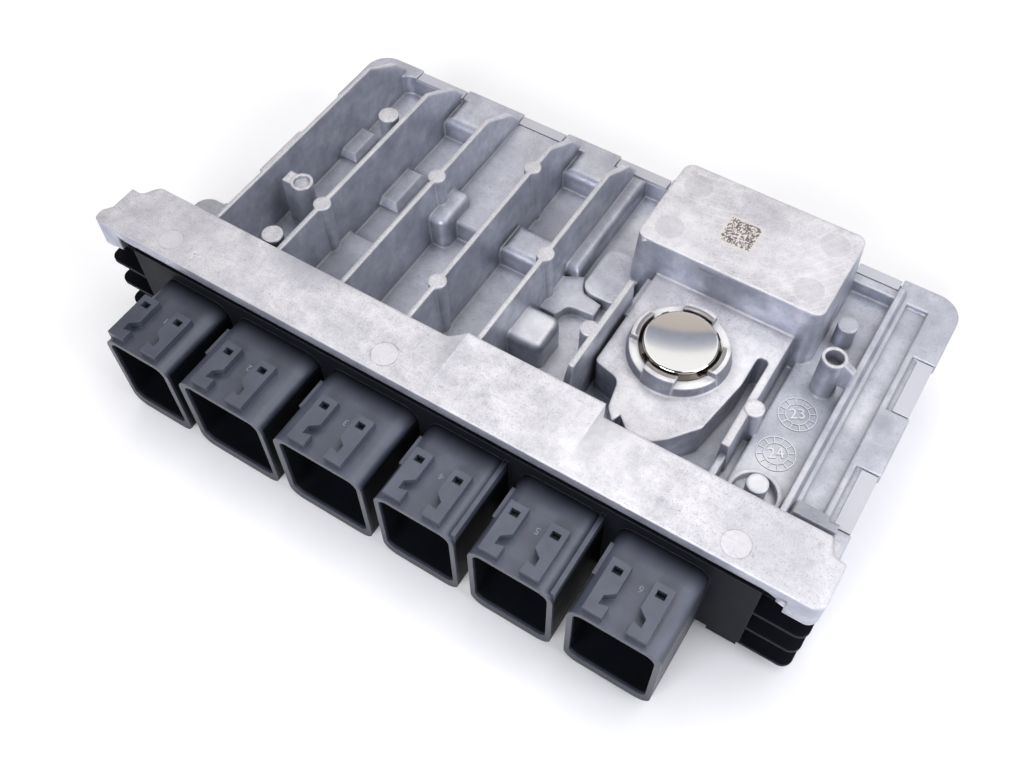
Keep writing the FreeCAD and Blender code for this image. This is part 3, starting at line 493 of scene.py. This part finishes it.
def simple_metal(name, code, roughness, grit, metallic=1.0):
    """Plain metal: one colour, a cloudy sheen with features of grit mm, softened edges."""
    m = material(name)
    cloud = noise(m, m.add("TexCoord").outputs["Object"], grit, 5.0)
    rough = spread(m, cloud, 0.3, 0.7, roughness - 0.06, roughness + 0.08)
    soft = m.add("Bevel", {"Radius": 0.3 * MM}, samples=2).outputs["Normal"]
    return m.finish(m.add("BsdfPrincipled", {"Base Color": colour(code), "Metallic": metallic,
                                             "Roughness": rough, "Normal": soft}))


def polished_steel():
    """Polished stainless sheet: a clean mirror, only a little blurred."""
    m = material("polished_stainless_steel")
    cloud = noise(m, m.add("TexCoord").outputs["Object"], 1.0, 5.0)
    return m.finish(m.add("BsdfPrincipled", {"Base Color": colour("#E4E2DF"), "Metallic": 1.0,
                                             "Roughness": spread(m, cloud, 0.3, 0.7, 0.06, 0.11)}))


def simple_solid(name, code_a, code_b, roughness, grit):
    """Plain solid: two near colours in patches of grit mm, one sheen."""
    m = material(name)
    cloud = noise(m, m.add("TexCoord").outputs["Object"], grit, 5.0)
    base = ramp(m, cloud, [(0.35, code_a), (0.65, code_b)])
    return m.finish(m.add("BsdfPrincipled", {"Base Color": base, "Roughness": roughness}))


finishes = {
    "cast_aluminium": cast_aluminium(),
    "header_plastic": header_plastic(),
    # The header's plastic on raised digits, paler as a painted highlight, so that they read against the shroud
    "header_mark": simple_solid("glass_filled_pbt_relief", "#7A7F8C", "#868B98", 0.45, 1.0),
    "cast_relief": cast_relief(),
    # Mill-finished sheet: pale, even and dull beside the casting
    "sheet_aluminium": simple_metal("rolled_aluminium_sheet", "#CDCED6", 0.45, 1.2, 0.6),
    "vent_steel": polished_steel(),
    # Tempered steel: brownish from the heat, with a soft shine
    "clip_steel": simple_metal("tempered_spring_steel", "#8C8176", 0.38, 1.0),
    # Cured silicone: dark, matt, a little rubbery
    "sealing_bead": simple_solid("silicone_bead", "#3A3B3E", "#46474A", 0.6, 2.0),
    # Solder mask over glass cloth: deep green with a lacquer shine
    "board": simple_solid("solder_mask_on_glass_epoxy", "#12482A", "#17552F", 0.4, 3.0),
    # Zinc plating: light grey with a clear shine
    "screw_steel": simple_metal("zinc_plated_steel", "#AEB0B2", 0.35, 1.0),
    # Moulded epoxy: nearly black and matt
    "chip_body": simple_solid("moulded_epoxy", "#17181A", "#1E1F22", 0.6, 0.5),
    # Sintered ferrite: dark grey and stony
    "ferrite": simple_solid("sintered_ferrite", "#2A2A2C", "#343437", 0.7, 0.6),
    # Fired ceramic: tan with a slight glaze
    "ceramic_body": simple_solid("fired_ceramic", "#8B7B63", "#9A8A70", 0.5, 0.4),
    # Nickel plating: warm and bright
    "can_metal": simple_metal("nickel_plated_can", "#B9B7AE", 0.3, 0.8),
    # Drawn aluminium: cool and bright
    "capacitor_can": simple_metal("drawn_aluminium_can", "#B5B7BB", 0.3, 1.2),
    # Filled silicone: chalky blue-grey without any shine
    "gap_pad": simple_solid("filled_silicone_pad", "#7C88A0", "#8692A8", 0.8, 0.6),
    # Expanded PTFE: white and matt like paper
    "membrane": simple_solid("expanded_ptfe_film", "#E6E6E4", "#F0F0EE", 0.7, 0.4),
    # Tin plating: pale and warm, with a clear shine
    "terminal_copper": simple_metal("tin_plated_brass", "#C8C2B2", 0.3, 0.6),
}
slot_of = {entry["node"]: entry["material_slot"] for entry in frame["record"]["subparts"]}
for name, node in frame["nodes"].items():
    node.data.materials.clear()
    node.data.materials.append(finishes[slot_of[name]])


def into_scene(name, data):
    holder = bpy.data.objects.new(name, data)
    bpy.context.scene.collection.objects.link(holder)
    return holder


def camera():
    """Same lens and place as the camera of the photo."""
    data = bpy.data.cameras.new("camera")
    data.lens = 38.01
    data.sensor_width = 36.0
    data.sensor_fit = "HORIZONTAL"
    data.clip_start = 0.01
    right = Vector((0.847189, 0.531266, -0.005202))
    down = Vector((0.443066, -0.711876, -0.544907))
    ahead = Vector((-0.293194, 0.459335, -0.838480))
    turn = Matrix((right, -down, -ahead)).transposed().to_4x4()
    turn.translation = at(*EYE)
    holder = into_scene("camera", data)
    holder.matrix_world = turn
    bpy.context.scene.camera = holder


def sheet(name, width, depth, finish):
    """Flat rectangle of the studio, its sizes in metres."""
    x, y = width / 2, depth / 2
    mesh = bpy.data.meshes.new(name)
    mesh.from_pydata([(-x, -y, 0), (x, -y, 0), (x, y, 0), (-x, y, 0)], [], [(0, 1, 2, 3)])
    mesh.materials.append(finish)
    return into_scene(name, mesh)


def white_laminate():
    """White laminate: plain and bright. The unit's shade on it is painted, at the right only, as in the photo.
    What the camera and reflections see of it glows toward white with distance, and from below it is clear."""
    m = material("white_laminate")
    path = m.add("LightPath")
    direct = maths(m, "MAXIMUM", path.outputs["Is Camera Ray"], path.outputs["Is Glossy Ray"])
    direct = maths(m, "MAXIMUM", direct, path.outputs["Is Transmission Ray"])
    place = m.add("TexCoord").outputs["Object"]
    openness = m.add("AmbientOcclusion", {"Distance": 42.0 * MM}, samples=1).outputs["AO"]
    # Painted shade of the unit on the table, at its right side only; it darkens the tint and the glow
    shade = times(m, spread(m, openness, 0.45, 0.95, 1.0, 0.0), spread(m, axis(m, place, "X"), 0.03, 0.09))
    away = vector_maths(m, "LENGTH", place, result="Value")
    lift = maths(m, "SUBTRACT", spread(m, away, GLOW_FROM, GLOW_TO, TABLE_GLOW, 1.0), times(m, shade, TABLE_GLOW))
    glow = m.add("Emission", {"Color": colour("#FFFFFF"), "Strength": times(m, direct, lift)})
    tint = paint(m, colour("#EFEFF0"), "#B4B4B6", shade, direct, 0.5)
    both = m.add("AddShader", {0: m.add("BsdfDiffuse", {"Color": tint}).outputs[0], 1: glow.outputs[0]})
    below = m.add("NewGeometry").outputs["Backfacing"]
    clear = m.add("BsdfTransparent").outputs[0]
    return m.finish(m.add("MixShader", {0: below, 1: both.outputs[0], 2: clear}))


def room():
    """Pale walls up to a little above the horizon, dim above them."""
    m = Nodes(bpy.data.worlds.new("room"), "ShaderNodeOutputWorld")
    rise = axis(m, m.add("TexCoord").outputs["Generated"], "Z")
    strength = spread(m, rise, 0.18, 0.35, 1.0, 0.08)
    return m.finish(m.add("Background", {"Color": colour("#F4F5F8"), "Strength": strength}))


def studio():
    """White table, pale room and soft lamps."""
    table = sheet("table", TABLE_SIZE, TABLE_SIZE, white_laminate())
    table.location.z = -TABLE_GAP
    bpy.context.scene.world = room()
    for name, place, size, watts, tint in LAMPS:
        data = bpy.data.lights.new(name, "AREA")
        data.shape = "RECTANGLE"
        data.size, data.size_y = size
        data.energy = watts
        data.color = colour(tint)[:3]
        holder = into_scene(name, data)
        holder.location = place
        holder.rotation_euler = (AIM - Vector(place)).to_track_quat("-Z", "Y").to_euler()


def mirror_card():
    """Shaded, glowing card that only shows in reflections, as a photographer sets it for the polished cap: a
    painted reflection.
    """
    m = material("glowing_reflection_card")
    place = m.add("TexCoord").outputs["Object"]
    across, along = axis(m, place, "X"), axis(m, place, "Y")
    curved = maths(m, "ADD", along, times(m, across, across, CARD_CURVE))
    curved = maths(m, "ADD", curved, times(m, across, CARD_TILT))
    tint = ramp(m, spread(m, curved, -CARD_HEIGHT / 2, CARD_HEIGHT / 2), CARD_TINTS)
    # The card glows with its painted tints, so the cap shows a painted reflection
    glow = m.add("Emission", {"Color": tint, "Strength": CARD_GLOW})
    holder = sheet("mirror_card", CARD_WIDTH, CARD_HEIGHT, m.finish(glow))
    cap = at(*VENT, CAP_TOP)
    away = (cap - at(*EYE)).normalized()
    bounce = Vector((away.x, away.y, -away.z))
    holder.location = cap + bounce * CARD_AWAY
    holder.rotation_euler = bounce.to_track_quat("Z", "Y").to_euler()
    holder.visible_camera = False
    holder.visible_diffuse = False
    holder.visible_shadow = False


def keep(name, mesh, slot, stands_for=(), finish=None):
    """Puts a piece in the scene, on the fixed body, with its slot's finish or another one."""
    piece = into_scene(name, mesh)
    piece.data.materials.clear()
    piece.data.materials.append(finishes[finish or slot])
    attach(piece, "root")
    if stands_for:
        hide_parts(*stands_for)


def to_mesh(work, name, turn_outward=True):
    """Ends the work on a bmesh and returns it as a mesh."""
    if turn_outward:
        bmesh.ops.recalc_face_normals(work, faces=work.faces)
    mesh = bpy.data.meshes.new(name)
    work.to_mesh(mesh)
    work.free()
    return mesh


def polar(centre, radius, angle, z):
    """A point of the drawing at an angle, in radians, round a centre."""
    return (centre[0] + radius * math.cos(angle), centre[1] + radius * math.sin(angle), z)


def lathe(name, profile, centre, steps):
    """Turned mesh round an upright axis; the profile is (radius, level)."""
    work = bmesh.new()
    rings = []
    for radius, level in profile:
        angles = [2 * math.pi * i / steps for i in range(steps)] if radius else [0.0]
        rings.append([work.verts.new(at(*polar(centre, radius, angle, level))) for angle in angles])
    for low, high in zip(rings, rings[1:]):
        for i in range(steps):
            j = (i + 1) % steps
            if len(low) == 1:
                work.faces.new((low[0], high[j], high[i]))
            else:
                work.faces.new((low[i], low[j], high[j], high[i]))
    mesh = to_mesh(work, name)
    for face in mesh.polygons:
        face.use_smooth = True
    return mesh


def vent_cap():
    """Pressed steel cap: slightly domed, rolled edge, short skirt."""
    dome_steps, roll_steps = 12, 6
    profile = [(0.0, CAP_TOP)]
    for i in range(1, dome_steps + 1):
        share = i / dome_steps
        profile.append((CAP_FLAT * share, CAP_TOP - CAP_DOME * share ** 2))
    for i in range(1, roll_steps + 1):
        angle = math.pi / 2 * i / roll_steps
        profile.append((CAP_FLAT + (CAP_RADIUS - CAP_FLAT) * math.sin(angle),
                        CAP_TOP - CAP_DOME - CAP_ROLL * (1 - math.cos(angle))))
    profile += [(CAP_RADIUS, CAP_SKIRT_END), (CAP_RADIUS - CAP_SHEET, CAP_SKIRT_END)]
    keep("vent_cap_formed", lathe("vent_cap_formed", profile, VENT, 96), "vent_steel", ["vent_cap"])


def vent_clip():
    """Spring clip under the cap: a skirted ring with four hooks that bend out into the gaps between the lugs."""
    keep("vent_clip_formed", lathe("vent_clip_formed", CLIP_PROFILE, VENT, 72), "clip_steel", ["vent_clip_ring"])
    work = bmesh.new()
    for turn in HOOK_TURNS:
        rows = []
        for side in (-HOOK_HALF_TURN, HOOK_HALF_TURN):
            angle = math.radians(turn) + side
            rows.append([work.verts.new(at(*polar(VENT, radius, angle, z))) for radius, z in HOOK_PROFILE])
        for i in range(len(HOOK_PROFILE) - 1):
            work.faces.new((rows[0][i], rows[0][i + 1], rows[1][i + 1], rows[1][i]))
    bmesh.ops.solidify(work, geom=work.faces[:], thickness=HOOK_SHEET * MM)
    keep("vent_clip_hooks", to_mesh(work, "vent_clip_hooks", turn_outward=False), "clip_steel")


def line_mesh(name, routes, width, height):
    """Low raised lines that follow routes of points; each line is a flat-topped ridge."""
    work = bmesh.new()
    for route, closed in routes:
        count = len(route)
        rows = []
        for i, point in enumerate(route):
            before = route[i - 1] if closed or i else point
            after = route[(i + 1) % count] if closed or i < count - 1 else point
            along = (Vector(after) - Vector(before)).normalized()
            across = Vector((-along.y, along.x, 0))
            low = [Vector(point) + across * (width / 2 * k) for k in (-1, 1)]
            high = [Vector(point) + across * (width / 3 * k) + Vector((0, 0, height)) for k in (-1, 1)]
            rows.append([work.verts.new(at(*p)) for p in (low[0], high[0], high[1], low[1])])
        for i in range(count if closed else count - 1):
            j = (i + 1) % count
            for k in range(3):
                work.faces.new((rows[i][k], rows[j][k], rows[j][k + 1], rows[i][k + 1]))
    return to_mesh(work, name)


def date_dial(number, x, y):
    """Moulding date dial: two rings, twelve divisions and a plain number, raised on the channel floor."""
    ring_steps, divisions = 48, 12
    routes = []
    for radius in (DIAL_OUTER, DIAL_INNER):
        ring = [polar((x, y), radius, 2 * math.pi * i / ring_steps, DIAL_LEVEL) for i in range(ring_steps)]
        routes.append((ring, True))
    for i in range(divisions):
        angle = 2 * math.pi * i / divisions
        routes.append(([polar((x, y), radius, angle, DIAL_LEVEL) for radius in (DIAL_INNER, DIAL_OUTER)], False))
    lines = line_mesh("date_dial", routes, DIAL_LINE, DIAL_RELIEF)
    keep("date_dial_%s" % number, lines, "cast_aluminium", finish="cast_relief")
    raised_text("date_number_%s" % number, number, (x, y, DIAL_LEVEL), DIAL_DIGITS, DIAL_RELIEF, DIAL_TURN,
                "cast_aluminium", "cast_relief")


def raised_text(name, digits, place, size, relief, turn, slot, finish):
    """Plain raised digits, turned by this many degrees."""
    curve = bpy.data.curves.new(name, "FONT")
    curve.body = digits
    curve.size = size * MM
    curve.extrude = relief / 2 * MM
    curve.bevel_depth = 0.04 * MM
    curve.align_x = "CENTER"
    curve.align_y = "CENTER"
    holder = into_scene(name + "_text", curve)
    bpy.context.view_layer.update()
    mesh = bpy.data.meshes.new_from_object(holder)
    bpy.data.objects.remove(holder)
    x, y, z = place
    turned = Matrix.Rotation(math.radians(turn), 4, "Z")
    mesh.transform(Matrix.Translation(at(x, y, z + relief / 2)) @ turned)
    keep(name, mesh, slot, finish=finish)


def shroud_numbers():
    """Plain numbers 1 to 6 on the shrouds, their feet toward the shelf."""
    for number, (left, right) in enumerate(MOUTHS, 1):
        place = ((left + right) / 2, *NUMBER_PLACE)
        raised_text("shroud_number_%d" % number, str(number), place, NUMBER_SIZE, NUMBER_RELIEF, 180,
                    "header_plastic", "header_mark")


def flash_spur():
    """Little tongue of flash at the block's front left corner."""
    work = bmesh.new()
    point = work.verts.new(at(*SPUR_TIP))
    base = [work.verts.new(at(*p)) for p in SPUR_FOOT]
    for i in range(3):
        work.faces.new((point, base[i], base[(i + 1) % 3]))
    work.faces.new(base)
    keep("flash_spur", to_mesh(work, "flash_spur"), "cast_aluminium")


def pin_grid():
    """The full set of blade terminals in each connector, with bevelled tips."""
    for number, (left, right) in enumerate(MOUTHS, 1):
        name = "terminals_%d_full" % number
        work = bmesh.new()
        columns = int((right - left - PIN_MARGIN) / PIN_PITCH)
        middle = (left + right) / 2
        for row in range(PIN_ROWS):
            for column in range(columns):
                add_pin(work, middle + (column - (columns - 1) / 2) * PIN_PITCH, PIN_TOP - row * PIN_STEP)
        keep(name, to_mesh(work, name, turn_outward=False), "terminal_copper", ["terminals_%d" % number])


def add_pin(work, x, z):
    """One square blade, straight from its tapered tip into the header. The bends inside are left out."""
    corners = [(-1, -1), (1, -1), (1, 1), (-1, 1)]
    rings = [[work.verts.new(at(x + half * a, y, z + half * b)) for a, b in corners] for y, half in PIN_STATIONS]
    work.faces.new(rings[0])
    work.faces.new(rings[-1])
    for near, far in zip(rings, rings[1:]):
        for i in range(4):
            work.faces.new((near[i], near[(i + 1) % 4], far[(i + 1) % 4], far[i]))


vent_cap()
vent_clip()
for number, x, y in DIALS:
    date_dial(number, x, y)
shroud_numbers()
flash_spur()
pin_grid()
camera()
studio()
mirror_card()
bpy.context.scene.view_settings.view_transform = "Standard"
